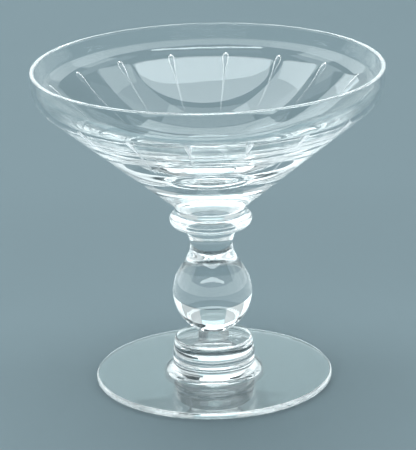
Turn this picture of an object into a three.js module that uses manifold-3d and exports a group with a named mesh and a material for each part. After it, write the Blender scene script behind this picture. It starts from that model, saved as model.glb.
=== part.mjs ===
// Footed sherbet glass in clear crystal: a cut, cone-shaped bowl on a knopped stem and a round foot.
// Millimetres, +Z up. The origin is the centre of the foot's underside.
// The pieces are the gathers of hot glass, stacked on one axis and fused face to face.

import * as THREE from 'three';
import { mergeVertices } from 'three/addons/utils/BufferGeometryUtils.js';
import Module from 'manifold-3d';

// Foot: a flat disc, a little thicker in the middle than at its edge
const FOOT_RADIUS = 36.7;
const FOOT_EDGE_THICKNESS = 2.0;
const FOOT_CENTRE_THICKNESS = 2.6;
const FOOT_EDGE_ROUNDING = 0.8;

// Foot pad: spreads the stem onto the foot in one hollow sweep
const PAD_HEIGHT = 4.4;
const PAD_TOP_RADIUS = 12.6;
const PAD_FLARE = 3.6;
const PAD_LIP = 0.5;

// Lower disc: thick and slightly tapered
const DISC_HEIGHT = 6.2;
const DISC_BOTTOM_RADIUS = 12.9;
const DISC_TOP_RADIUS = 12.0;
const DISC_ROUNDING = 0.8;

// Stem knop: an egg shape with a short neck below and a drawn neck above
const KNOP_FOOT_HEIGHT = 3.3;
const KNOP_FOOT_RADIUS = 4.7;
const KNOP_BASE_RADIUS = 5.9;
const KNOP_RADIUS = 12.3;
const KNOP_LOWER_HEIGHT = 12.0;
const KNOP_UPPER_HEIGHT = 14.7;
const KNOP_BELLY_PULL = 6.2;
const KNOP_NECK_PULL = 4.7;
const KNOP_NECK_RADIUS = 6.6;
const KNOP_NECK_HEIGHT = 3.4;
const KNOP_HEAD_RADIUS = 7.2;

// Small wafer between the knop and the merese
const WAFER_HEIGHT = 3.0;
const WAFER_RADIUS = 7.6;
const WAFER_ROUNDING = 1.0;

// Upper merese: the widest ring of the stem, with a full round edge
const MERESE_HEIGHT = 4.2;
const MERESE_RADIUS = 12.7;

// Neck ring under the bowl
const RING_HEIGHT = 2.3;
const RING_RADIUS = 10.8;
const RING_ROUNDING = 0.7;

// Bowl: cone, rounded shoulder and upright band, with a solid base
const BOWL_HEIGHT = 43.9;
const BOWL_BASE_RADIUS = 11.1;
const BOWL_BASE_ROUNDING = 0.6;
const SHOULDER_RADIUS = 53.2;
const SHOULDER_ROUNDING = 9.7;
const BAND_HEIGHT = 8.7;
const RIM_RADIUS = 53.5;

// Hollow: an even wall down to the shoulder, then a round dish over the thick base
const BOWL_WALL = 1.4;
const DISH_INSET = 6.0;

// Comet cuts: round head near the shoulder, thin tail down the cone
const COMET_COUNT = 18;
const COMET_TURN = -6.8;
const COMET_INSET = 1.7;
const COMET_LENGTH = 31.5;
const COMET_HEAD_LENGTH = 8.5;
const COMET_NOSE_LENGTH = 1.6;
const COMET_HEAD_HALF_WIDTH = 1.0;
const COMET_TAIL_HALF_WIDTH = 0.3;
const COMET_DEPTH = 0.7;

// Fineness of the round forms
const WIDE_SIDES = 72;
const STEM_SIDES = 40;
const COMET_SIDES = 8;
const ARC_STEPS = 4;
const CURVE_STEPS = 9;
const DISH_STEPS = 10;
const SAME_POINT = 1e-4;

// Heights of the seams between the pieces, from the table up
const PAD_SEAT = FOOT_CENTRE_THICKNESS;
const DISC_SEAT = PAD_SEAT + PAD_HEIGHT;
const KNOP_SEAT = DISC_SEAT + DISC_HEIGHT;
const KNOP_BASE = KNOP_SEAT + KNOP_FOOT_HEIGHT;
const KNOP_BELLY = KNOP_BASE + KNOP_LOWER_HEIGHT;
const KNOP_NECK = KNOP_BELLY + KNOP_UPPER_HEIGHT;
const WAFER_SEAT = KNOP_NECK + KNOP_NECK_HEIGHT;
const MERESE_SEAT = WAFER_SEAT + WAFER_HEIGHT;
const RING_SEAT = MERESE_SEAT + MERESE_HEIGHT;
const BOWL_SEAT = RING_SEAT + RING_HEIGHT;
const RIM_TOP = BOWL_SEAT + BOWL_HEIGHT;

// One corner of a turned outline, rounded where a radius is given
function corner(r, z, rounding = 0) {
  return { at: new THREE.Vector2(r, z), rounding };
}

// Outline through its corners, each rounded corner an arc that touches both of its sides
function outline(corners) {
  const points = [];
  corners.forEach(({ at, rounding }, i) => {
    const before = corners[i - 1];
    const after = corners[i + 1];
    if (!rounding || !before || !after) {
      points.push(at);
      return;
    }
    const back = before.at.clone().sub(at);
    const ahead = after.at.clone().sub(at);
    const half = Math.acos(back.dot(ahead) / (back.length() * ahead.length())) / 2;
    // Two roundings share the side between them in proportion to their radii
    const room = (side, other) => (side.length() * rounding) / (rounding + other.rounding);
    const reach = Math.min(rounding / Math.tan(half), room(back, before), room(ahead, after));
    const radius = reach * Math.tan(half);
    const middle = back.clone().normalize().add(ahead.clone().normalize());
    const centre = at.clone().addScaledVector(middle.normalize(), radius / Math.sin(half));
    const start = at.clone().addScaledVector(back.normalize(), reach).sub(centre);
    const end = at.clone().addScaledVector(ahead.normalize(), reach).sub(centre);
    const turn = Math.atan2(start.cross(end), start.dot(end));
    for (let step = 0; step <= ARC_STEPS; step += 1) {
      const spoke = start.clone().rotateAround(new THREE.Vector2(), (turn * step) / ARC_STEPS);
      points.push(centre.clone().add(spoke));
    }
  });
  return points.filter((point, i) => !i || point.distanceTo(points[i - 1]) > SAME_POINT);
}

// Turned solid about the Z axis
function turned(points, sides) {
  return new THREE.LatheGeometry(points, sides).rotateX(Math.PI / 2);
}

// Crystal: clear, cold white, polished
function crystal() {
  return new THREE.MeshStandardMaterial({
    color: 0xe4edf0,
    roughness: 0.04,
    metalness: 0,
    transparent: true,
    opacity: 0.35,
  });
}

function piece(name, geometry) {
  const mesh = new THREE.Mesh(geometry, crystal());
  mesh.name = name;
  return mesh;
}

function foot() {
  const points = outline([
    corner(0, 0),
    corner(FOOT_RADIUS, 0, FOOT_EDGE_ROUNDING),
    corner(FOOT_RADIUS, FOOT_EDGE_THICKNESS, FOOT_EDGE_ROUNDING),
    corner(PAD_TOP_RADIUS + PAD_FLARE, PAD_SEAT),
    corner(0, PAD_SEAT),
  ]);
  return piece('foot', turned(points, WIDE_SIDES));
}

function footPad() {
  const sweepTop = DISC_SEAT - PAD_LIP;
  const sweep = new THREE.QuadraticBezierCurve(
    new THREE.Vector2(PAD_TOP_RADIUS + PAD_FLARE, PAD_SEAT),
    new THREE.Vector2(PAD_TOP_RADIUS, PAD_SEAT),
    new THREE.Vector2(PAD_TOP_RADIUS, sweepTop),
  );
  const points = [
    new THREE.Vector2(0, PAD_SEAT),
    ...sweep.getPoints(CURVE_STEPS),
    new THREE.Vector2(PAD_TOP_RADIUS - PAD_LIP, DISC_SEAT),
    new THREE.Vector2(0, DISC_SEAT),
  ];
  return piece('foot_pad', turned(points, STEM_SIDES));
}

function lowerDisc() {
  const points = outline([
    corner(0, DISC_SEAT),
    corner(DISC_BOTTOM_RADIUS, DISC_SEAT, DISC_ROUNDING),
    corner(DISC_TOP_RADIUS, KNOP_SEAT, DISC_ROUNDING),
    corner(0, KNOP_SEAT),
  ]);
  return piece('lower_disc', turned(points, STEM_SIDES));
}

function stemKnop() {
  // Part of an ellipse under the belly, cut off where it reaches the base's radius
  const cut = Math.acos(KNOP_BASE_RADIUS / KNOP_RADIUS);
  const drop = KNOP_LOWER_HEIGHT / Math.sin(cut);
  const lower = new THREE.EllipseCurve(0, KNOP_BELLY, KNOP_RADIUS, drop, -cut, 0);
  // The side leaves the belly upright and reaches the neck upright
  const upper = new THREE.CubicBezierCurve(
    new THREE.Vector2(KNOP_RADIUS, KNOP_BELLY),
    new THREE.Vector2(KNOP_RADIUS, KNOP_BELLY + KNOP_BELLY_PULL),
    new THREE.Vector2(KNOP_NECK_RADIUS, KNOP_NECK - KNOP_NECK_PULL),
    new THREE.Vector2(KNOP_NECK_RADIUS, KNOP_NECK),
  );
  const head = new THREE.QuadraticBezierCurve(
    new THREE.Vector2(KNOP_NECK_RADIUS, KNOP_NECK),
    new THREE.Vector2(KNOP_NECK_RADIUS, (KNOP_NECK + WAFER_SEAT) / 2),
    new THREE.Vector2(KNOP_HEAD_RADIUS, WAFER_SEAT),
  );
  const points = [
    new THREE.Vector2(0, KNOP_SEAT),
    new THREE.Vector2(KNOP_FOOT_RADIUS, KNOP_SEAT),
    new THREE.Vector2(KNOP_FOOT_RADIUS, KNOP_BASE),
    ...lower.getPoints(CURVE_STEPS),
    ...upper.getPoints(CURVE_STEPS).slice(1),
    ...head.getPoints(ARC_STEPS).slice(1),
    new THREE.Vector2(0, WAFER_SEAT),
  ];
  return piece('stem_knop', turned(points, STEM_SIDES));
}

// Plain wafer with both edges rounded alike
function wafer(name, bottom, height, radius, rounding) {
  const points = outline([
    corner(0, bottom),
    corner(radius, bottom, rounding),
    corner(radius, bottom + height, rounding),
    corner(0, bottom + height),
  ]);
  return piece(name, turned(points, STEM_SIDES));
}

// Closed solid of a geometry, with its vertices shared and its collapsed triangles dropped
function solidOf(wasm, geometry) {
  const bare = geometry.clone();
  bare.deleteAttribute('normal');
  bare.deleteAttribute('uv');
  const merged = mergeVertices(bare);
  const triVerts = [];
  for (let i = 0; i < merged.index.count; i += 3) {
    const [a, b, c] = merged.index.array.slice(i, i + 3);
    if (a !== b && b !== c && c !== a) triVerts.push(a, b, c);
  }
  const vertProperties = Float32Array.from(merged.attributes.position.array);
  const mesh = new wasm.Mesh({ numProp: 3, vertProperties, triVerts: Uint32Array.from(triVerts) });
  return new wasm.Manifold(mesh);
}

function geometryOf(solid) {
  const mesh = solid.getMesh();
  const geometry = new THREE.BufferGeometry();
  geometry.setAttribute('position', new THREE.BufferAttribute(mesh.vertProperties, 3));
  geometry.setIndex(new THREE.BufferAttribute(mesh.triVerts, 1));
  geometry.computeVertexNormals();
  return geometry;
}

// Corners of the bowl's cone, outside and inside
const SHOULDER = new THREE.Vector2(SHOULDER_RADIUS, RIM_TOP - BAND_HEIGHT);
const CONE_FOOT = new THREE.Vector2(BOWL_BASE_RADIUS, BOWL_SEAT);
const CONE_DIRECTION = SHOULDER.clone().sub(CONE_FOOT).normalize();

// The wall is measured square to the cone, so the inner shoulder lies on both offset lines
function innerShoulder() {
  const inward = new THREE.Vector2(-CONE_DIRECTION.y, CONE_DIRECTION.x);
  const onCone = SHOULDER.clone().addScaledVector(inward, BOWL_WALL);
  const r = SHOULDER_RADIUS - BOWL_WALL;
  const along = (r - onCone.x) / CONE_DIRECTION.x;
  return onCone.addScaledVector(CONE_DIRECTION, along);
}

// Dish about the axis: its edge carries on the line of the cone, and its middle is level
function dish(edge) {
  const radius = edge.x / CONE_DIRECTION.y;
  const centre = edge.y + radius * CONE_DIRECTION.x;
  const start = Math.atan2(edge.y - centre, edge.x);
  return new THREE.EllipseCurve(0, centre, radius, radius, start, -Math.PI / 2, true);
}

function bowlBlank() {
  const inner = innerShoulder();
  const edge = inner.clone().addScaledVector(CONE_DIRECTION, -DISH_INSET);
  const wall = outline([
    corner(0, BOWL_SEAT),
    corner(CONE_FOOT.x, CONE_FOOT.y, BOWL_BASE_ROUNDING),
    corner(SHOULDER.x, SHOULDER.y, SHOULDER_ROUNDING),
    corner(RIM_RADIUS, RIM_TOP, BOWL_WALL / 2),
    corner(RIM_RADIUS - BOWL_WALL, RIM_TOP, BOWL_WALL / 2),
    corner(inner.x, inner.y, SHOULDER_ROUNDING - BOWL_WALL),
    corner(edge.x, edge.y),
  ]);
  return turned([...wall, ...dish(edge).getPoints(DISH_STEPS).slice(1)], WIDE_SIDES);
}

// Teardrop that cuts one comet: its axis lies on the cone, from the end of the tail to the tip of the head
function cometCutter(turn) {
  const headStart = COMET_LENGTH - COMET_HEAD_LENGTH;
  const noseStart = COMET_LENGTH - COMET_NOSE_LENGTH;
  const midHead = (headStart + noseStart) / 2;
  const head = new THREE.CubicBezierCurve(
    new THREE.Vector2(COMET_TAIL_HALF_WIDTH, headStart),
    new THREE.Vector2(COMET_TAIL_HALF_WIDTH, midHead),
    new THREE.Vector2(COMET_HEAD_HALF_WIDTH, midHead),
    new THREE.Vector2(COMET_HEAD_HALF_WIDTH, noseStart),
  );
  const nose = new THREE.EllipseCurve(
    0, noseStart, COMET_HEAD_HALF_WIDTH, COMET_NOSE_LENGTH, 0, Math.PI / 2,
  );
  const points = [
    new THREE.Vector2(0, 0),
    ...head.getPoints(ARC_STEPS),
    ...nose.getPoints(ARC_STEPS).slice(1),
  ];
  const cutter = new THREE.LatheGeometry(points, COMET_SIDES);
  const slope = Math.atan2(CONE_DIRECTION.y, CONE_DIRECTION.x);
  const tail = SHOULDER.clone().addScaledVector(CONE_DIRECTION, -COMET_INSET - COMET_LENGTH);
  // Upright teardrop, flattened to the depth of the cut, leaned onto the cone and turned to its place
  cutter.scale(1, 1, COMET_DEPTH / COMET_HEAD_HALF_WIDTH);
  cutter.rotateX(Math.PI - slope);
  cutter.translate(0, -tail.x, tail.y);
  cutter.rotateZ(turn);
  return cutter;
}

async function bowl() {
  const wasm = await Module();
  wasm.setup();
  let solid = solidOf(wasm, bowlBlank());
  for (let i = 0; i < COMET_COUNT; i += 1) {
    const turn = THREE.MathUtils.degToRad(COMET_TURN) + (2 * Math.PI * i) / COMET_COUNT;
    solid = solid.subtract(solidOf(wasm, cometCutter(turn)));
  }
  return piece('bowl', geometryOf(solid));
}

const glass = new THREE.Group();
glass.add(foot());
glass.add(footPad());
glass.add(lowerDisc());
glass.add(stemKnop());
glass.add(wafer('small_wafer', WAFER_SEAT, WAFER_HEIGHT, WAFER_RADIUS, WAFER_ROUNDING));
glass.add(wafer('upper_merese', MERESE_SEAT, MERESE_HEIGHT, MERESE_RADIUS, MERESE_HEIGHT / 2));
glass.add(wafer('neck_ring', RING_SEAT, RING_HEIGHT, RING_RADIUS, RING_ROUNDING));
glass.add(await bowl());

export default glass;
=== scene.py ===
"""Footed sherbet glass in clear crystal: a cut, cone-shaped bowl on a knopped stem and a round foot."""

import math

import bmesh
import bpy
from bpy.props import FloatProperty, FloatVectorProperty, IntProperty, PointerProperty
from mathutils import Matrix, Vector
from mathutils.geometry import interpolate_bezier


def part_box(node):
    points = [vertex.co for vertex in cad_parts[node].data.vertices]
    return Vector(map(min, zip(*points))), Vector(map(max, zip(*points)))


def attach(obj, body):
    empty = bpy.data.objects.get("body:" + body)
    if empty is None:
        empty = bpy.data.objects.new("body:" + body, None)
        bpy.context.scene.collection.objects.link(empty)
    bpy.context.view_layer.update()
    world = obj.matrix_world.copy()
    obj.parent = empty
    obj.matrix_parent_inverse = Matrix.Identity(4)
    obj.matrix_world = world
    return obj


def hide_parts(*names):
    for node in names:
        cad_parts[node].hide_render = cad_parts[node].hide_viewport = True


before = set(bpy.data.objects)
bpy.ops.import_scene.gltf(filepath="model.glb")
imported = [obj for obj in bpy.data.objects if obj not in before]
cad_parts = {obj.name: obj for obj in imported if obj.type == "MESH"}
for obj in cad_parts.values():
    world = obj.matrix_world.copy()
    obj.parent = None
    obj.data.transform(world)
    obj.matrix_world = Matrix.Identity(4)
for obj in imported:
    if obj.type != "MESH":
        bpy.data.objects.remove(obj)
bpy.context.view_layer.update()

bl_info = {
    "name": "Sherbet Glass",
    "version": (1, 0, 0),
    "blender": (4, 5, 0),
    "location": "View3D > Sidebar > Sherbet Glass",
    "description": "Builds a footed sherbet glass in clear cut crystal, piece by piece",
    "category": "Object",
}

# Fineness of the turned pieces
WIDE_SIDES = 240
STEM_SIDES = 144
COMET_SIDES = 28
ARC_STEPS = 14
CURVE_STEPS = 36
DISH_STEPS = 64
SAME_POINT = 2e-7
ON_SEAM = 1e-6
CREASE = math.radians(32)
# Socket numbers of a Mix node that mixes colours
MIX_FACTOR, MIX_FIRST, MIX_SECOND, MIX_RESULT = 0, 6, 7, 2
# Crystal: haze in the polish and strength of the ripple for each group of pieces
CRYSTALS = {"clear_stem": (0.03, 0.05), "clear_foot": (0.04, 0.06), "clear_bowl": (0.02, 0.05)}
STREAK_SCALE = 38.0
HAZE_SCALE = 70.0
RIPPLE_SCALE = 55.0
RIPPLE_HEIGHT = 0.0006
# Comet cuts: wheel marks, clouds and the least and added roughness
MARK_SCALE = 2600.0
MARK_STRENGTH = 0.35
MARK_HEIGHT = 0.0001
CLOUD_SCALE = 300.0
CUT_POLISH = 0.1
CUT_HAZE = 0.12
# Floor: scale and depth of its mottle, and its dull surface
MOTTLE_SCALE = 9.0
MOTTLE_DEPTH = 0.96
FLOOR_ROUGHNESS = 0.75
FLOOR_SHEEN = 0.2
# Enough bounces for light to cross every piece of glass
BOUNCES = 128
SEAM_BOUNCES = 64


def span(node):
    """Lowest height, highest height and greatest radius of a turned CAD piece."""
    low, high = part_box(node)
    return low.z, high.z, high.x


FOOT_BOTTOM, PAD_SEAT, FOOT_RADIUS = span("foot")
DISC_SEAT = span("foot_pad")[1]
KNOP_SEAT = span("lower_disc")[1]
WAFER_SEAT = span("stem_knop")[1]
MERESE_SEAT = span("small_wafer")[1]
RING_SEAT = span("upper_merese")[1]
BOWL_SEAT = span("neck_ring")[1]
RIM_TOP = span("bowl")[1]


def length(name, description, default):
    """A size that a user would change, in metres."""
    return FloatProperty(name=name, description=description, default=default, min=0, unit="LENGTH", precision=5)


def tilt(name, description, degrees):
    """A turn that a user would change."""
    return FloatProperty(name=name, description=description, default=math.radians(degrees), subtype="ANGLE")


def shade(name, description, default):
    """A colour that a user would change."""
    return FloatVectorProperty(name=name, description=description, default=default, subtype="COLOR", min=0, max=1)


class SherbetFootSizes(bpy.types.PropertyGroup):
    radius: length("Foot radius", "Radius of the foot", FOOT_RADIUS)
    edge_thickness: length("Foot edge", "Thickness of the foot at its edge", 0.0020)
    edge_rounding: length("Foot edge rounding", "Rounding of the foot's edge", 0.0008)
    pad_top_radius: length("Pad radius", "Radius of the foot pad under the disc", 0.0126)
    pad_bottom_radius: length("Pad spread", "Radius where the pad meets the foot", span("foot_pad")[2])
    pad_lip: length("Pad lip", "Bevel at the top of the pad", 0.0005)


class SherbetStemSizes(bpy.types.PropertyGroup):
    disc_bottom_radius: length("Disc bottom", "Radius of the lower disc at its bottom", 0.0129)
    disc_top_radius: length("Disc top", "Radius of the lower disc at its top", 0.0120)
    disc_rounding: length("Disc rounding", "Rounding of the lower disc's edges", 0.0008)
    knop_foot_radius: length("Knop foot", "Radius of the short neck under the knop", 0.0047)
    knop_foot_height: length("Knop foot height", "Height of the short neck under the knop", 0.0033)
    knop_base_radius: length("Knop base", "Radius at the knop's lower end", 0.0059)
    knop_radius: length("Knop belly", "Greatest radius of the knop", span("stem_knop")[2])
    knop_lower_height: length("Knop lower part", "Height from the knop's base to its belly", 0.0120)
    knop_upper_height: length("Knop upper part", "Height from the belly to the drawn neck", 0.0147)
    knop_belly_pull: length("Belly pull", "How far the side stays upright above the belly", 0.0062)
    knop_neck_pull: length("Neck pull", "How far the side stays upright below the neck", 0.0047)
    knop_neck_radius: length("Knop neck", "Radius of the drawn neck", 0.0066)
    knop_head_radius: length("Knop head", "Radius where the neck meets the small wafer", 0.0072)
    wafer_radius: length("Small wafer", "Radius of the small wafer", span("small_wafer")[2])
    wafer_rounding: length("Small wafer rounding", "Rounding of the small wafer's edge", 0.0010)
    merese_radius: length("Merese", "Radius of the merese", span("upper_merese")[2])
    ring_radius: length("Neck ring", "Radius of the neck ring", span("neck_ring")[2])
    ring_rounding: length("Neck ring rounding", "Rounding of the neck ring's edge", 0.0007)


class SherbetBowlSizes(bpy.types.PropertyGroup):
    base_radius: length("Bowl base", "Radius of the bowl's base", 0.0111)
    base_rounding: length("Base rounding", "Rounding of the base's edge", 0.0006)
    shoulder_radius: length("Shoulder", "Radius where the cone would meet the band", 0.0532)
    shoulder_rounding: length("Shoulder rounding", "Rounding between the cone and the band", 0.0097)
    band_height: length("Band", "Height of the upright band under the rim", 0.0087)
    rim_radius: length("Rim", "Outer radius of the rim", 0.0535)
    bowl_wall: length("Wall", "Thickness of the wall from the rim to the dish", 0.0014)
    dish_inset: length("Dish inset", "Distance along the cone from the inner shoulder to the dish's edge", 0.0060)
    comet_count: IntProperty(name="Comets", description="Number of comet cuts", default=18, min=1)
    comet_turn: tilt("Comet turn", "Angle of the first comet from the front", -6.8)
    comet_inset: length("Comet inset", "Distance along the cone from the shoulder to the comets' tips", 0.0017)
    comet_length: length("Comet length", "Length of a comet", 0.0315)
    comet_head_length: length("Comet head", "Length of a comet's head", 0.0085)
    comet_nose_length: length("Comet nose", "Length of the round end of a comet's head", 0.0016)
    comet_half_width: length("Comet half width", "Half the width of a comet's head", 0.0010)
    comet_tail_half_width: length("Tail half width", "Half the width of a comet's tail", 0.0003)
    comet_depth: length("Comet depth", "Depth of a comet's head", 0.0007)


class SherbetFinish(bpy.types.PropertyGroup):
    tint: shade("Crystal tint", "Colour of light through the crystal", (0.978, 0.994, 0.996))
    cast: shade("Crystal cast", "Colour of the slightly greener streaks in the crystal", (0.962, 0.986, 0.984))
    ior: FloatProperty(name="Index", description="Refractive index of the crystal", default=1.54, min=1, max=2)
    ground: shade("Cut tint", "Colour of light through the comet cuts", (0.94, 0.97, 1.0))
    clouds: shade("Cut clouds", "Colour of the clearer clouds in the comet cuts", (0.99, 0.99, 1.0))


class SherbetStage(bpy.types.PropertyGroup):
    floor_colour: shade("Floor", "Colour of the floor", (0.18, 0.235, 0.26))
    light_colour: shade("Light", "Colour of the soft light", (0.90, 0.985, 1.0))
    backdrop_colour: shade("Backdrop", "Colour of the light from behind the glass", (0.72, 0.95, 1.0))
    light_level: FloatProperty(
        name="Light level", description="Brightness of all the lamps together", default=0.88, min=0
    )
    room_level: FloatProperty(
        name="Room level", description="Brightness of the room round the lamps", default=0.3, min=0
    )
    floor_size: length("Floor size", "Half the width of the floor", 4.0)
    floor_drop: length("Floor drop", "Air under the foot", 0.00005)
    camera_distance: length("Camera distance", "Distance of the camera in front of the stem", 0.7101)
    camera_height: length("Camera height", "Height of the camera above the floor", 0.2868)
    camera_pitch: tilt("Camera pitch", "Downward tilt of the camera", 18.491)
    camera_yaw: tilt("Camera yaw", "Turn of the camera to its left", 0.074)
    camera_roll: tilt("Camera roll", "Roll of the camera", -1.354)
    camera_lens: FloatProperty(name="Lens", description="Focal length in millimetres", default=195.2, min=1)


class Value:
    """A socket of a finish's node tree. Sums between values add Math nodes."""

    def __init__(self, finish, socket):
        self.finish = finish
        self.socket = socket

    def maths(self, operation, first, second):
        return self.finish.node("ShaderNodeMath", {"operation": operation}, {0: first, 1: second})

    def __add__(self, other):
        return self.maths("ADD", self, other)

    def __radd__(self, other):
        return self.maths("ADD", other, self)

    def __sub__(self, other):
        return self.maths("SUBTRACT", self, other)

    def __rsub__(self, other):
        return self.maths("SUBTRACT", other, self)

    def __mul__(self, other):
        return self.maths("MULTIPLY", self, other)

    def __rmul__(self, other):
        return self.maths("MULTIPLY", other, self)


class Finish:
    """A node tree under construction."""

    def __init__(self, tree):
        self.tree = tree
        self.tree.nodes.clear()

    def node(self, kind, settings=None, sockets=None, output=0):
        """Adds a node: its settings first, then the values or links of its sockets."""
        node = self.tree.nodes.new(kind)
        for key, value in (settings or {}).items():
            setattr(node, key, value)
        for key, value in (sockets or {}).items():
            if isinstance(value, Value):
                self.tree.links.new(value.socket, node.inputs[key])
            else:
                node.inputs[key].default_value = value
        return Value(self, node.outputs[output]) if len(node.outputs) else None

    def place(self):
        """Where a point lies on its object."""
        return self.node("ShaderNodeTexCoord", output="Object")

    def noise(self, place, scale, detail, roughness=0.5, distortion=0.0):
        """Soft patches between 0 and 1."""
        return self.node(
            "ShaderNodeTexNoise",
            {"noise_dimensions": "3D"},
            {"Vector": place, "Scale": scale, "Detail": detail, "Roughness": roughness, "Distortion": distortion},
        )

    def mix(self, factor, first, second):
        """Colour between two colours."""
        return self.node(
            "ShaderNodeMix",
            {"data_type": "RGBA", "clamp_factor": True},
            {MIX_FACTOR: factor, MIX_FIRST: first, MIX_SECOND: second},
            output=MIX_RESULT,
        )

    def bump(self, height, strength, distance):
        """Normal of a surface with a height."""
        return self.node("ShaderNodeBump", {}, {"Strength": strength, "Distance": distance, "Height": height})

    def principled(self, sockets):
        """Ends the tree in a Principled shader."""
        shader = self.node("ShaderNodeBsdfPrincipled", {}, sockets)
        self.node("ShaderNodeOutputMaterial", {}, {"Surface": shader})


def new_finish(name):
    """A material and its empty node tree."""
    material = bpy.data.materials.new(name)
    material.use_nodes = True
    return material, Finish(material.node_tree)


def opaque(colour):
    return (*colour, 1.0)


def crystal_finish(name):
    """Clear crystal: faint greener streaks, a slow ripple from the reheating, and a breath of haze in the polish."""
    polish, ripple = CRYSTALS[name]
    colours = bpy.context.scene.sherbet_finish
    material, finish = new_finish(name)
    place = finish.place()
    streaks = finish.noise(place, STREAK_SCALE, detail=3.0, distortion=1.2)
    haze = finish.noise(place, HAZE_SCALE, detail=1.0)
    waves = finish.noise(place, RIPPLE_SCALE, detail=1.0)
    finish.principled({
        "Base Color": finish.mix(streaks, opaque(colours.tint), opaque(colours.cast)),
        "Roughness": haze * polish,
        "Normal": finish.bump(waves, ripple, RIPPLE_HEIGHT),
        "IOR": colours.ior,
        "Transmission Weight": 1.0,
    })
    return material


def ground_finish():
    """Cut glass of the comets: softly polished, with fine wheel marks."""
    colours = bpy.context.scene.sherbet_finish
    material, finish = new_finish("ground_comet")
    place = finish.place()
    grain = finish.noise(place, MARK_SCALE, detail=4.0, roughness=0.7)
    clouds = finish.noise(place, CLOUD_SCALE, detail=2.0)
    finish.principled({
        "Base Color": finish.mix(clouds, opaque(colours.ground), opaque(colours.clouds)),
        "Roughness": CUT_POLISH + grain * CUT_HAZE,
        "Normal": finish.bump(grain, MARK_STRENGTH, MARK_HEIGHT),
        "IOR": colours.ior,
        "Transmission Weight": 1.0,
    })
    return material


def seam_finish():
    """Face inside the glass where two gathers are fused: nothing is seen of it."""
    material, finish = new_finish("fused_seam")
    finish.principled({"Base Color": (1, 1, 1, 1), "Alpha": 0.0})
    return material


def glass(name):
    """Materials of a piece, its crystal and its seams, made the first time they are asked for."""
    made = bpy.data.materials
    return [made.get(name) or crystal_finish(name), made.get("fused_seam") or seam_finish()]


class Outline:
    """Half section of a turned piece, drawn as a wire in the plane of X and Z."""

    def __init__(self, radius, height):
        self.mesh = bmesh.new()
        self.tip = self.mesh.verts.new((radius, 0, height))

    def at(self):
        """Radius and height of the wire's end."""
        return Vector((self.tip.co.x, self.tip.co.z))

    def line(self, radius, height):
        """Straight stretch to a point."""
        if (Vector((radius, 0, height)) - self.tip.co).length < SAME_POINT:
            return
        made = bmesh.ops.extrude_vert_indiv(self.mesh, verts=[self.tip])
        self.tip = made["verts"][0]
        self.tip.co = (radius, 0, height)

    def arc(self, centre, turn, steps=ARC_STEPS):
        """Part of a circle about a centre."""
        made = bmesh.ops.spin(
            self.mesh,
            geom=[self.tip],
            cent=(centre.x, 0, centre.y),
            axis=(0, -1, 0),
            angle=turn,
            steps=steps,
            use_merge=False,
            use_duplicate=False,
        )
        self.tip = next(item for item in made["geom_last"] if isinstance(item, bmesh.types.BMVert))

    def corners(self, corners):
        """Goes round a list of (radius, height, rounding), each rounding an arc that touches both of its sides."""
        points = [self.at()] + [Vector(corner[:2]) for corner in corners]
        roundings = [0.0] + [corner[2] if len(corner) > 2 else 0.0 for corner in corners]
        for i in range(1, len(points)):
            at = points[i]
            if not roundings[i] or i + 1 == len(points):
                self.line(*at)
                continue
            back = points[i - 1] - at
            ahead = points[i + 1] - at
            half = back.angle(ahead) / 2
            # Two roundings share the side between them in proportion to their radii
            reach = min(
                roundings[i] / math.tan(half),
                back.length * roundings[i] / (roundings[i] + roundings[i - 1]),
                ahead.length * roundings[i] / (roundings[i] + roundings[i + 1]),
            )
            radius = reach * math.tan(half)
            centre = at + (back.normalized() + ahead.normalized()).normalized() * radius / math.sin(half)
            first = at + back.normalized() * reach
            last = at + ahead.normalized() * reach
            self.line(*first)
            self.arc(centre, math.copysign(math.pi - 2 * half, (first - centre).cross(last - centre)))

    def curve(self, first_handle, second_handle, end):
        """Bezier stretch to a point."""
        handles = Vector(first_handle), Vector(second_handle)
        for point in interpolate_bezier(self.at(), *handles, Vector(end), CURVE_STEPS)[1:]:
            self.line(*point)

    def sweep(self, handle, end):
        """Bezier stretch with one handle to a point."""
        handle, end = Vector(handle), Vector(end)
        self.curve(self.at().lerp(handle, 2 / 3), end.lerp(handle, 2 / 3), end)

    def turned(self, sides):
        """Solid of revolution about Z."""
        bmesh.ops.spin(
            self.mesh,
            geom=self.mesh.verts[:] + self.mesh.edges[:],
            cent=(0, 0, 0),
            axis=(0, 0, 1),
            angle=2 * math.pi,
            steps=sides,
            use_merge=True,
            use_duplicate=False,
        )
        bmesh.ops.remove_doubles(self.mesh, verts=self.mesh.verts, dist=SAME_POINT)
        bmesh.ops.recalc_face_normals(self.mesh, faces=self.mesh.faces)
        return self.mesh


def disc_seam(context):
    """Height and radius of the seam between the foot pad and the lower disc."""
    foot = context.scene.sherbet_foot
    stem = context.scene.sherbet_stem
    inward = Vector((-1, 0))
    side = Vector((stem.disc_top_radius - stem.disc_bottom_radius, KNOP_SEAT - DISC_SEAT))
    # The disc's flat end reaches out to where its edge begins to round
    flat = stem.disc_bottom_radius - stem.disc_rounding / math.tan(inward.angle(side) / 2)
    return DISC_SEAT, min(flat, foot.pad_top_radius - foot.pad_lip)


def is_seam(face, seams):
    """Whether a face is one where the piece is fused to its neighbour."""
    return any(
        all(abs(v.co.z - height) < ON_SEAM and v.co.xy.length < radius + ON_SEAM for v in face.verts)
        for height, radius in seams
    )


def make_object(name, mesh, materials, seams=()):
    """Object of a finished mesh, with its fused faces in the second material slot."""
    for face in mesh.faces:
        face.smooth = True
        face.material_index = 1 if is_seam(face, seams) else 0
    data = bpy.data.meshes.new(name)
    mesh.to_mesh(data)
    mesh.free()
    for material in materials:
        data.materials.append(material)
    data.set_sharp_from_angle(angle=CREASE)
    piece = bpy.data.objects.new(name, data)
    bpy.context.scene.collection.objects.link(piece)
    return piece


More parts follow.
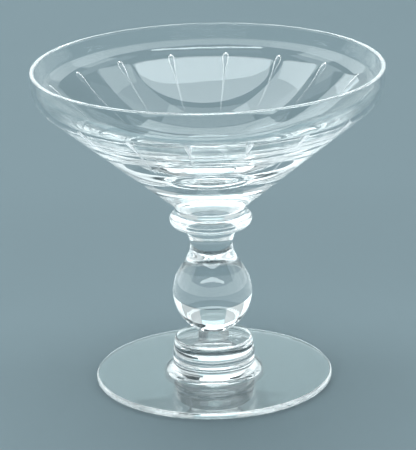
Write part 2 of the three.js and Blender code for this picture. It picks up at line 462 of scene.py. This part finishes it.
def tie(piece, node):
    """Gives a piece its even shading and ties it to its CAD piece."""
    shading = piece.modifiers.new("even_shading", "WEIGHTED_NORMAL")
    shading.mode = "FACE_AREA"
    shading.keep_sharp = True
    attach(piece, "root")
    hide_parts(node)


class SHERBET_OT_foot(bpy.types.Operator):
    """Turn the round foot and the pad that spreads the stem onto it"""

    bl_idname = "sherbet.foot"
    bl_label = "Foot and Foot Pad"

    def execute(self, context):
        sizes = context.scene.sherbet_foot
        foot_seam = (PAD_SEAT, sizes.pad_bottom_radius)
        top_seam = disc_seam(context)

        foot = Outline(0, FOOT_BOTTOM)
        foot.corners([
            (sizes.radius, FOOT_BOTTOM, sizes.edge_rounding),
            (sizes.radius, FOOT_BOTTOM + sizes.edge_thickness, sizes.edge_rounding),
            (sizes.pad_bottom_radius, PAD_SEAT),
            (0, PAD_SEAT),
        ])
        piece = make_object("foot_glass", foot.turned(WIDE_SIDES), glass("clear_foot"), [foot_seam])
        tie(piece, "foot")

        pad = Outline(0, PAD_SEAT)
        pad.line(sizes.pad_bottom_radius, PAD_SEAT)
        pad.sweep((sizes.pad_top_radius, PAD_SEAT), (sizes.pad_top_radius, DISC_SEAT - sizes.pad_lip))
        pad.line(sizes.pad_top_radius - sizes.pad_lip, DISC_SEAT)
        pad.line(top_seam[1], DISC_SEAT)
        pad.line(0, DISC_SEAT)
        piece = make_object("foot_pad_glass", pad.turned(STEM_SIDES), glass("clear_stem"), [foot_seam, top_seam])
        tie(piece, "foot_pad")
        return {"FINISHED"}


class SHERBET_OT_lower_disc(bpy.types.Operator):
    """Turn the thick, slightly tapered disc under the knop"""

    bl_idname = "sherbet.lower_disc"
    bl_label = "Lower Disc"

    def execute(self, context):
        sizes = context.scene.sherbet_stem
        pad_seam = disc_seam(context)
        knop_seam = (KNOP_SEAT, sizes.knop_foot_radius)
        disc = Outline(0, DISC_SEAT)
        disc.line(pad_seam[1], DISC_SEAT)
        disc.corners([
            (sizes.disc_bottom_radius, DISC_SEAT, sizes.disc_rounding),
            (sizes.disc_top_radius, KNOP_SEAT, sizes.disc_rounding),
            (sizes.knop_foot_radius, KNOP_SEAT),
            (0, KNOP_SEAT),
        ])
        piece = make_object("lower_disc_glass", disc.turned(STEM_SIDES), glass("clear_stem"), [pad_seam, knop_seam])
        tie(piece, "lower_disc")
        return {"FINISHED"}


class SHERBET_OT_stem_knop(bpy.types.Operator):
    """Turn the solid egg-shaped knop with a drawn neck at each end"""

    bl_idname = "sherbet.stem_knop"
    bl_label = "Stem Knop"

    def execute(self, context):
        sizes = context.scene.sherbet_stem
        base = KNOP_SEAT + sizes.knop_foot_height
        belly = base + sizes.knop_lower_height
        neck = belly + sizes.knop_upper_height
        foot_seam = (KNOP_SEAT, sizes.knop_foot_radius)
        wafer_seam = (WAFER_SEAT, sizes.wafer_radius - sizes.wafer_rounding)
        # The lower half is part of an ellipse, cut off at the base's radius
        cut = math.acos(sizes.knop_base_radius / sizes.knop_radius)
        drop = sizes.knop_lower_height / math.sin(cut)

        knop = Outline(0, KNOP_SEAT)
        knop.line(sizes.knop_foot_radius, KNOP_SEAT)
        knop.line(sizes.knop_foot_radius, base)
        for step in range(CURVE_STEPS + 1):
            angle = cut * (step / CURVE_STEPS - 1)
            knop.line(sizes.knop_radius * math.cos(angle), belly + drop * math.sin(angle))
        knop.curve(
            (sizes.knop_radius, belly + sizes.knop_belly_pull),
            (sizes.knop_neck_radius, neck - sizes.knop_neck_pull),
            (sizes.knop_neck_radius, neck),
        )
        knop.sweep((sizes.knop_neck_radius, (neck + WAFER_SEAT) / 2), (sizes.knop_head_radius, WAFER_SEAT))
        knop.line(wafer_seam[1], WAFER_SEAT)
        knop.line(0, WAFER_SEAT)
        piece = make_object("stem_knop_glass", knop.turned(STEM_SIDES), glass("clear_stem"), [foot_seam, wafer_seam])
        tie(piece, "stem_knop")
        return {"FINISHED"}


class SHERBET_OT_wafers(bpy.types.Operator):
    """Turn the three wafers between the knop and the bowl"""

    bl_idname = "sherbet.wafers"
    bl_label = "Wafers"

    def execute(self, context):
        sizes = context.scene.sherbet_stem
        merese_rounding = (RING_SEAT - MERESE_SEAT) / 2
        wafer_flat = sizes.wafer_radius - sizes.wafer_rounding
        ring_flat = sizes.ring_radius - sizes.ring_rounding
        wafers = (
            ("small_wafer", WAFER_SEAT, MERESE_SEAT, sizes.wafer_radius, sizes.wafer_rounding, wafer_flat, wafer_flat),
            ("upper_merese", MERESE_SEAT, RING_SEAT, sizes.merese_radius, merese_rounding, wafer_flat, ring_flat),
            ("neck_ring", RING_SEAT, BOWL_SEAT, sizes.ring_radius, sizes.ring_rounding, ring_flat, ring_flat),
        )
        for node, bottom, top, radius, rounding, below, above in wafers:
            wafer = Outline(0, bottom)
            wafer.line(below, bottom)
            wafer.corners([(radius, bottom, rounding), (radius, top, rounding), (above, top), (0, top)])
            seams = [(bottom, below), (top, above)]
            piece = make_object(node + "_glass", wafer.turned(STEM_SIDES), glass("clear_stem"), seams)
            tie(piece, node)
        return {"FINISHED"}


class SHERBET_OT_bowl(bpy.types.Operator):
    """Blow the bowl and cut its ring of comets"""

    bl_idname = "sherbet.bowl"
    bl_label = "Bowl with Comets"

    def execute(self, context):
        sizes = context.scene.sherbet_bowl
        stem = context.scene.sherbet_stem
        cone_foot = Vector((sizes.base_radius, BOWL_SEAT))
        shoulder = Vector((sizes.shoulder_radius, RIM_TOP - sizes.band_height))
        along = (shoulder - cone_foot).normalized()
        ring_seam = (BOWL_SEAT, stem.ring_radius - stem.ring_rounding)
        blank = self.blank(sizes, shoulder, along, ring_seam)
        piece = make_object("bowl_glass", blank, glass("clear_bowl"), [ring_seam])
        self.cut_comets(context, piece, self.comets(sizes, shoulder, along))
        tie(piece, "bowl")
        return {"FINISHED"}

    def blank(self, sizes, shoulder, along, ring_seam):
        """Bowl before cutting: an even wall down to the shoulder, then a round dish over a thick base."""
        inner_radius = shoulder.x - sizes.bowl_wall
        on_cone = shoulder + Vector((-along.y, along.x)) * sizes.bowl_wall
        inner = on_cone + along * (inner_radius - on_cone.x) / along.x
        edge = inner - along * sizes.dish_inset
        bowl = Outline(0, BOWL_SEAT)
        bowl.line(ring_seam[1], BOWL_SEAT)
        bowl.corners([
            (sizes.base_radius, BOWL_SEAT, sizes.base_rounding),
            (shoulder.x, shoulder.y, sizes.shoulder_rounding),
            (sizes.rim_radius, RIM_TOP, sizes.bowl_wall / 2),
            (sizes.rim_radius - sizes.bowl_wall, RIM_TOP, sizes.bowl_wall / 2),
            (inner.x, inner.y, sizes.shoulder_rounding - sizes.bowl_wall),
            (edge.x, edge.y),
        ])
        # The dish's edge carries on the line of the cone, and its middle is level
        radius = edge.x / along.y
        slope = math.atan2(along.y, along.x)
        bowl.arc(Vector((0, edge.y + radius * along.x)), -slope, DISH_STEPS)
        return bowl.turned(WIDE_SIDES)

    def comets(self, sizes, shoulder, along):
        """Ring of teardrops, each with its axis on the cone from the end of its tail to the tip of its head."""
        head_start = sizes.comet_length - sizes.comet_head_length
        nose_start = sizes.comet_length - sizes.comet_nose_length
        middle = (head_start + nose_start) / 2
        teardrop = Outline(0, 0)
        teardrop.line(sizes.comet_tail_half_width, head_start)
        teardrop.curve(
            (sizes.comet_tail_half_width, middle),
            (sizes.comet_half_width, middle),
            (sizes.comet_half_width, nose_start),
        )
        for step in range(1, ARC_STEPS + 1):
            angle = math.pi / 2 * step / ARC_STEPS
            radius = sizes.comet_half_width * math.cos(angle) if step < ARC_STEPS else 0.0
            teardrop.line(radius, nose_start + sizes.comet_nose_length * math.sin(angle))
        mesh = teardrop.turned(COMET_SIDES)
        # Flattened to the depth of the cut, leaned outwards onto the cone and moved to its place at the front
        tail = shoulder - along * (sizes.comet_inset + sizes.comet_length)
        lean = math.atan2(along.x, along.y)
        flatten = Matrix.Diagonal((1, sizes.comet_depth / sizes.comet_half_width, 1, 1))
        to_front = Matrix.Translation((0, -tail.x, tail.y)) @ Matrix.Rotation(lean, 4, "X") @ flatten
        first = Matrix.Rotation(sizes.comet_turn, 4, "Z") @ to_front
        bmesh.ops.transform(mesh, matrix=first, verts=mesh.verts)
        bmesh.ops.spin(
            mesh,
            geom=mesh.verts[:] + mesh.edges[:] + mesh.faces[:],
            cent=(0, 0, 0),
            axis=(0, 0, 1),
            angle=2 * math.pi * (sizes.comet_count - 1) / sizes.comet_count,
            steps=sizes.comet_count - 1,
            use_merge=False,
            use_duplicate=True,
        )
        bmesh.ops.recalc_face_normals(mesh, faces=mesh.faces)
        return mesh

    def cut_comets(self, context, piece, mesh):
        """Cuts the teardrops out of the bowl and leaves their faces in the finish of the cuts."""
        cutter = make_object("comet_cutter", mesh, [ground_finish()])
        cut = piece.modifiers.new("comets", "BOOLEAN")
        cut.operation = "DIFFERENCE"
        cut.solver = "EXACT"
        cut.material_mode = "TRANSFER"
        cut.object = cutter
        data = bpy.data.meshes.new_from_object(piece.evaluated_get(context.evaluated_depsgraph_get()))
        piece.modifiers.remove(cut)
        piece.data = data
        data.name = piece.name
        bpy.data.objects.remove(cutter)
        data.set_sharp_from_angle(angle=CREASE)


# Point on the stem that the soft boxes are aimed at
STEM = (0, 0, 0.06)
# Soft boxes above the glass: shape, place, aim, width, depth, and brightness as the glass sees it
LAMPS = (
    ("top_box", "ELLIPSE", (0.04, 0.14, 1.35), (0.04, 0.14, 0), 1.10, 0.75, 4.6),
    ("left_high", "RECTANGLE", (-0.60, 0.58, 1.37), STEM, 0.86, 0.40, 3.8),
    ("right_high", "RECTANGLE", (0.60, 0.58, 1.37), STEM, 0.86, 0.40, 1.8),
    ("back_high", "RECTANGLE", (0, 0.83, 1.37), STEM, 0.60, 0.40, 1.5),
    ("back_middle", "RECTANGLE", (0, 1.15, 1.17), STEM, 0.80, 0.33, 3.0),
    ("back_low", "RECTANGLE", (-0.35, 1.31, 0.91), STEM, 1.36, 0.34, 2.7),
    ("left_fill", "RECTANGLE", (-1.11, 0.30, 1.17), STEM, 1.30, 0.33, 0.9),
    ("right_fill", "RECTANGLE", (1.13, 0.10, 1.17), STEM, 1.50, 0.33, 0.5),
    ("front_high", "RECTANGLE", (0, -0.85, 1.37), STEM, 1.80, 0.40, 0.25),
    ("left_side", "RECTANGLE", (-1.36, 0, 0.91), STEM, 0.72, 0.34, 2.0),
    ("right_side", "RECTANGLE", (1.36, 0, 0.91), STEM, 0.72, 0.34, 1.7),
    ("front_strip", "RECTANGLE", (0, -1.25, 1.06), STEM, 2.20, 0.15, 8.0),
)
# Dim card behind the glass, which the foot mirrors
BACKDROP = ("backdrop", "RECTANGLE", (0, 1.50, 0.61), STEM, 0.80, 0.33, 0.85)
# Ring of upright screens round the glass, with their brightness from behind it towards the right
SCREEN_RING = 2.40
SCREEN_WIDTH = 1.286
SCREEN_HEIGHT = 1.23
SCREEN_MIDDLE = 0.62
SCREENS = (0.5, 0.7, 1.6, 2.5, 2.2, 1.9, 1.8, 1.9, 2.3, 2.8, 2.2, 0.8)


class SHERBET_OT_stage(bpy.types.Operator):
    """Lay the pale floor, hang the soft lights and set the camera"""

    bl_idname = "sherbet.stage"
    bl_label = "Stage"

    def execute(self, context):
        stage = context.scene.sherbet_stage
        self.lay_floor(stage)
        self.hang_lights(context, stage)
        self.light_room(context, stage)
        self.set_camera(context, stage)
        context.scene.view_settings.view_transform = "Standard"
        cycles = context.scene.cycles
        cycles.max_bounces = BOUNCES
        cycles.transmission_bounces = BOUNCES
        cycles.glossy_bounces = BOUNCES
        cycles.transparent_max_bounces = SEAM_BOUNCES
        return {"FINISHED"}

    def lay_floor(self, stage):
        mesh = bmesh.new()
        bmesh.ops.create_grid(mesh, x_segments=1, y_segments=1, size=stage.floor_size)
        bmesh.ops.translate(mesh, verts=mesh.verts, vec=(0, 0, FOOT_BOTTOM - stage.floor_drop))
        material, finish = new_finish("pale_floor")
        mottle = finish.noise(finish.place(), MOTTLE_SCALE, detail=3.0)
        deeper = [channel * MOTTLE_DEPTH for channel in stage.floor_colour]
        finish.principled({
            "Base Color": finish.mix(mottle, opaque(stage.floor_colour), opaque(deeper)),
            "Roughness": FLOOR_ROUGHNESS,
            "Specular IOR Level": FLOOR_SHEEN,
        })
        make_object("pale_floor", mesh, [material])

    def hang_lights(self, context, stage):
        for lamp in LAMPS:
            self.hang(context, stage.light_colour, *lamp)
        self.hang(context, stage.backdrop_colour, *BACKDROP)
        for i, level in enumerate(SCREENS):
            turn = 2 * math.pi * i / len(SCREENS)
            place = (SCREEN_RING * math.sin(turn), SCREEN_RING * math.cos(turn), SCREEN_MIDDLE)
            screen = f"screen_{i:02d}", "RECTANGLE", place, (0, 0, SCREEN_MIDDLE), SCREEN_WIDTH, SCREEN_HEIGHT, level
            # The screen straight behind is part of the backdrop
            self.hang(context, stage.light_colour if i else stage.backdrop_colour, *screen)

    def hang(self, context, colour, name, shape, place, aim, width, depth, level):
        """Hangs an evenly bright area lamp that the camera doesn't see."""
        lamp = bpy.data.lights.new(name, "AREA")
        lamp.shape = shape
        lamp.color = colour
        lamp.size = width
        lamp.size_y = depth
        area = width * depth * (math.pi / 4 if shape == "ELLIPSE" else 1)
        lamp.energy = context.scene.sherbet_stage.light_level * level * area * math.pi
        box = bpy.data.objects.new(name, lamp)
        box.location = place
        box.rotation_euler = (Vector(aim) - Vector(place)).to_track_quat("-Z", "Y").to_euler()
        box.visible_camera = False
        context.scene.collection.objects.link(box)

    def light_room(self, context, stage):
        world = bpy.data.worlds.new("studio")
        world.use_nodes = True
        context.scene.world = world
        finish = Finish(world.node_tree)
        glow = {"Color": opaque(stage.floor_colour), "Strength": stage.room_level}
        background = finish.node("ShaderNodeBackground", {}, glow)
        finish.node("ShaderNodeOutputWorld", {}, {"Surface": background})

    def set_camera(self, context, stage):
        data = bpy.data.cameras.new("camera")
        data.lens = stage.camera_lens
        camera = bpy.data.objects.new("camera", data)
        turned = (
            Matrix.Rotation(stage.camera_yaw, 4, "Z")
            @ Matrix.Rotation(math.pi / 2 - stage.camera_pitch, 4, "X")
            @ Matrix.Rotation(stage.camera_roll, 4, "Z")
        )
        camera.matrix_world = Matrix.Translation((0, -stage.camera_distance, stage.camera_height)) @ turned
        context.scene.collection.objects.link(camera)
        context.scene.camera = camera


class SHERBET_PT_panel(bpy.types.Panel):
    bl_label = "Sherbet Glass"
    bl_idname = "SHERBET_PT_panel"
    bl_space_type = "VIEW_3D"
    bl_region_type = "UI"
    bl_category = "Sherbet Glass"

    def draw(self, context):
        for operator in OPERATORS:
            self.layout.operator(operator.bl_idname)
        for group in GROUPS:
            box = self.layout.box()
            for name in GROUPS[group].__annotations__:
                box.prop(getattr(context.scene, group), name)


GROUPS = {
    "sherbet_foot": SherbetFootSizes,
    "sherbet_stem": SherbetStemSizes,
    "sherbet_bowl": SherbetBowlSizes,
    "sherbet_finish": SherbetFinish,
    "sherbet_stage": SherbetStage,
}

OPERATORS = (
    SHERBET_OT_foot,
    SHERBET_OT_lower_disc,
    SHERBET_OT_stem_knop,
    SHERBET_OT_wafers,
    SHERBET_OT_bowl,
    SHERBET_OT_stage,
)


def register():
    for name, group in GROUPS.items():
        bpy.utils.register_class(group)
        setattr(bpy.types.Scene, name, PointerProperty(type=group))
    for operator in OPERATORS:
        bpy.utils.register_class(operator)
    bpy.utils.register_class(SHERBET_PT_panel)


def unregister():
    bpy.utils.unregister_class(SHERBET_PT_panel)
    for operator in reversed(OPERATORS):
        bpy.utils.unregister_class(operator)
    for name, group in reversed(GROUPS.items()):
        delattr(bpy.types.Scene, name)
        bpy.utils.unregister_class(group)


def main():
    register()
    bpy.ops.sherbet.foot()
    bpy.ops.sherbet.lower_disc()
    bpy.ops.sherbet.stem_knop()
    bpy.ops.sherbet.wafers()
    bpy.ops.sherbet.bowl()
    bpy.ops.sherbet.stage()


if __name__ == "__main__":
    main()
